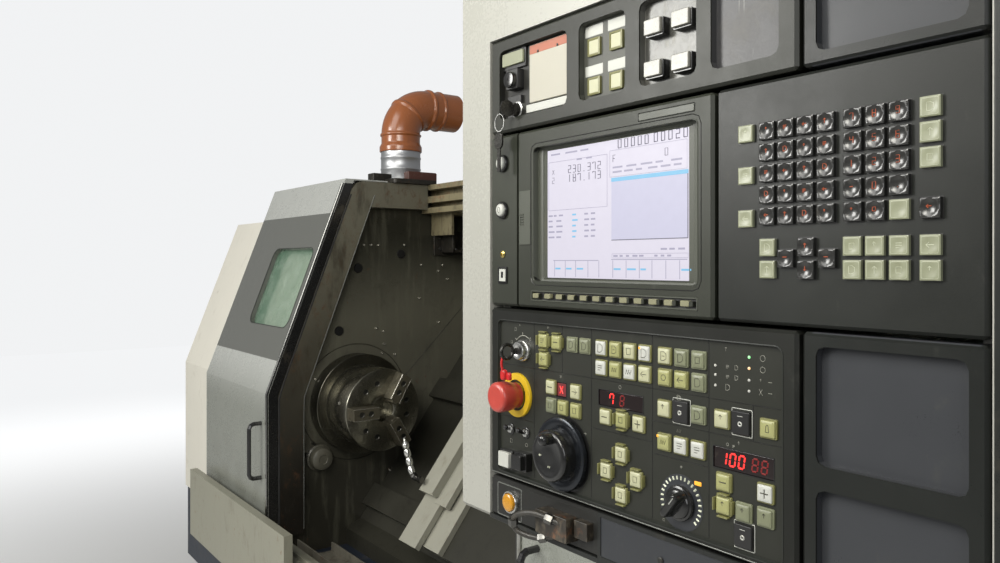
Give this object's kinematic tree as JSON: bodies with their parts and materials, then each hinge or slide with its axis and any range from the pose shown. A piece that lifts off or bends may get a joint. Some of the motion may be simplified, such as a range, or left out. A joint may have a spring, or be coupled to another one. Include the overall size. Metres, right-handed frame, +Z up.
{
  "type": "cnc turning lathe",
  "caption": "Slant-bed turning lathe with a three-jaw chuck, twin sliding doors, turret, tailstock and a control console with screen and keys.",
  "frame": {"origin": "on the floor under the middle of the machine's length and depth", "axes": "+X along the spindle from the headstock to the tailstock, -Y to the front where the operator stands, +Z up"},
  "size_m": [4.2, 1.874, 2.333],
  "materials": {
    "cream_paint": "aged cream enamel",
    "door_paint": "grey enamel with a darker band",
    "base_paint": "dark blue-grey enamel",
    "jamb_paint": "worn beige enamel with rust",
    "wall_steel": "oily dark sheet",
    "cast_iron": "dark casting",
    "ground_steel": "ground steel",
    "chuck_steel": "dark hardened steel",
    "bright_steel": "bright steel",
    "black_plastic": "black plastic",
    "panel_plastic": "dark grey-green console",
    "stop_red": "red plastic",
    "amber_plastic": "amber plastic",
    "button_cream": "cream plastic",
    "duct_plastic": "orange pipe plastic",
    "galvanised": "galvanised sheet",
    "window_glass": "greenish safety glass",
    "screen_glass": "lit screen",
    "rubber": "black rubber"
  },
  "bodies": {
    "frame": {"base_casting": "base_paint", "front_sill": "cream_paint", "chip_pan": "cream_paint", "left_cover": "cream_paint", "right_cover": "cream_paint", "splash_wall": "wall_steel", "left_jamb": "jamb_paint", "right_wall": "wall_steel", "work_light": "jamb_paint", "roof_beam": "cream_paint", "rear_wall": "wall_steel", "headstock_casting": "cast_iron", "spindle_motor": "cast_iron", "drive_belt": "rubber", "slant_bed": "cast_iron", "duct_collar": "galvanised", "duct_elbow": "duct_plastic", "electrical_cabinet": "cream_paint", "console_housing": "cream_paint", "console_arm": "cream_paint", "switch_module": "panel_plastic", "upper_blank_module": "panel_plastic", "lower_blank_module": "panel_plastic", "display_module": "panel_plastic", "screen": "screen_glass", "keyboard_module": "panel_plastic", "operation_module": "panel_plastic", "connector_module": "panel_plastic"},
    "left_door": {"left_door": "door_paint", "left_window": "window_glass", "left_edge_strip": "bright_steel", "left_handle": "black_plastic"},
    "right_door": {"right_door": "door_paint", "right_window": "window_glass", "right_edge_strip": "bright_steel", "right_handle": "black_plastic"},
    "spindle": {"spindle": "ground_steel", "chuck_body": "chuck_steel"},
    "jaw_1": {"jaw_1": "chuck_steel"},
    "jaw_2": {"jaw_2": "chuck_steel"},
    "jaw_3": {"jaw_3": "chuck_steel"},
    "motor_pulley": {"motor_pulley": "ground_steel"},
    "carriage": {"carriage": "cast_iron", "way_covers": "cream_paint", "coolant_nozzle": "bright_steel"},
    "cross_slide": {"cross_slide": "cast_iron"},
    "turret": {"turret_disc": "ground_steel"},
    "tailstock": {"tailstock": "cast_iron"},
    "quill": {"quill": "ground_steel"},
    "live_centre": {"live_centre": "bright_steel"},
    "cabinet_door": {"cabinet_door": "cream_paint"},
    "emergency_stop": {"emergency_stop": "stop_red"},
    "handwheel": {"handwheel": "black_plastic"},
    "override_knob": {"override_knob": "black_plastic"},
    "selector_knob": {"selector_knob": "black_plastic"},
    "upper_key_switch": {"upper_key_switch": "bright_steel"},
    "lower_key_switch": {"lower_key_switch": "bright_steel"},
    "power_on_button": {"power_on_button": "button_cream"},
    "power_off_button": {"power_off_button": "button_cream"},
    "amber_button": {"amber_button": "amber_plastic"}
  },
  "joints": [
    {"name": "left_door_slide", "type": "slide", "parent": "frame", "child": "left_door", "axis": [1, 0, 0], "range_m": [0, 0.7396]},
    {"name": "right_door_slide", "type": "slide", "parent": "frame", "child": "right_door", "axis": [-1, 0, 0], "range_m": [0, 0.7396]},
    {"name": "spindle_spin", "type": "hinge", "parent": "frame", "child": "spindle", "pos_m": [-0.86, -0.09, 1.052], "axis": [1, 0, 0], "continuous": true},
    {"name": "jaw_1_slide", "type": "slide", "parent": "spindle", "child": "jaw_1", "axis": [0, 0.5, 0.866], "range_m": [0, 0.005]},
    {"name": "jaw_2_slide", "type": "slide", "parent": "spindle", "child": "jaw_2", "axis": [0, -1, 0], "range_m": [0, 0.005]},
    {"name": "jaw_3_slide", "type": "slide", "parent": "spindle", "child": "jaw_3", "axis": [0, 0.5, -0.866], "range_m": [0, 0.005]},
    {"name": "motor_spin", "type": "hinge", "parent": "frame", "child": "motor_pulley", "pos_m": [-1.6197, 0.33, 0.712], "axis": [1, 0, 0], "continuous": true},
    {"name": "carriage_slide", "type": "slide", "parent": "frame", "child": "carriage", "axis": [1, 0, 0], "range_m": [-0.15, 0.18]},
    {"name": "cross_slide_slide", "type": "slide", "parent": "carriage", "child": "cross_slide", "axis": [0, 0.6157, 0.788], "range_m": [-0.24, 0.1]},
    {"name": "turret_index", "type": "hinge", "parent": "cross_slide", "child": "turret", "pos_m": [-0.14, 0.16858, 1.38296], "axis": [1, 0, 0], "continuous": true},
    {"name": "tailstock_slide", "type": "slide", "parent": "frame", "child": "tailstock", "axis": [1, 0, 0], "range_m": [-0.19, 0]},
    {"name": "quill_slide", "type": "slide", "parent": "tailstock", "child": "quill", "axis": [-1, 0, 0], "range_m": [0, 0.08]},
    {"name": "centre_spin", "type": "hinge", "parent": "quill", "child": "live_centre", "pos_m": [0.35, -0.09, 1.052], "axis": [1, 0, 0], "continuous": true},
    {"name": "cabinet_door_hinge", "type": "hinge", "parent": "frame", "child": "cabinet_door", "pos_m": [0.04, 0.937, 0.12], "axis": [0, 0, -1], "range_deg": [0, 110]},
    {"name": "emergency_stop_push", "type": "slide", "parent": "frame", "child": "emergency_stop", "axis": [0, 1, 0], "range_m": [0, 0.004]},
    {"name": "handwheel_turn", "type": "hinge", "parent": "frame", "child": "handwheel", "pos_m": [1.32405, -0.8933, 1.37458], "axis": [0, -1, 0], "continuous": true},
    {"name": "override_turn", "type": "hinge", "parent": "frame", "child": "override_knob", "pos_m": [1.50215, -0.8933, 1.35896], "axis": [0, -1, 0], "range_deg": [-135, 135]},
    {"name": "selector_turn", "type": "hinge", "parent": "frame", "child": "selector_knob", "pos_m": [1.22857, -0.8883, 1.8305], "axis": [0, -1, 0], "range_deg": [-45, 45]},
    {"name": "upper_key_turn", "type": "hinge", "parent": "frame", "child": "upper_key_switch", "pos_m": [1.2311, -0.8883, 1.7935], "axis": [0, -1, 0], "range_deg": [0, 90]},
    {"name": "lower_key_turn", "type": "hinge", "parent": "frame", "child": "lower_key_switch", "pos_m": [1.24556, -0.8933, 1.48898], "axis": [0, -1, 0], "range_deg": [0, 90]},
    {"name": "power_on_button_push", "type": "slide", "parent": "frame", "child": "power_on_button", "axis": [0, 1, 0], "range_m": [0, 0.003], "stiffness_N_per_m": 300},
    {"name": "power_off_button_push", "type": "slide", "parent": "frame", "child": "power_off_button", "axis": [0, 1, 0], "range_m": [0, 0.003], "stiffness_N_per_m": 300},
    {"name": "amber_button_push", "type": "slide", "parent": "frame", "child": "amber_button", "axis": [0, 1, 0], "range_m": [0, 0.003], "stiffness_N_per_m": 300}
  ],
  "couplings": [
    {"joint": "jaw_2_slide", "follows": "jaw_1_slide", "ratio": 1},
    {"joint": "jaw_3_slide", "follows": "jaw_1_slide", "ratio": 1},
    {"joint": "motor_spin", "follows": "spindle_spin", "ratio": 1.5294}
  ]
}
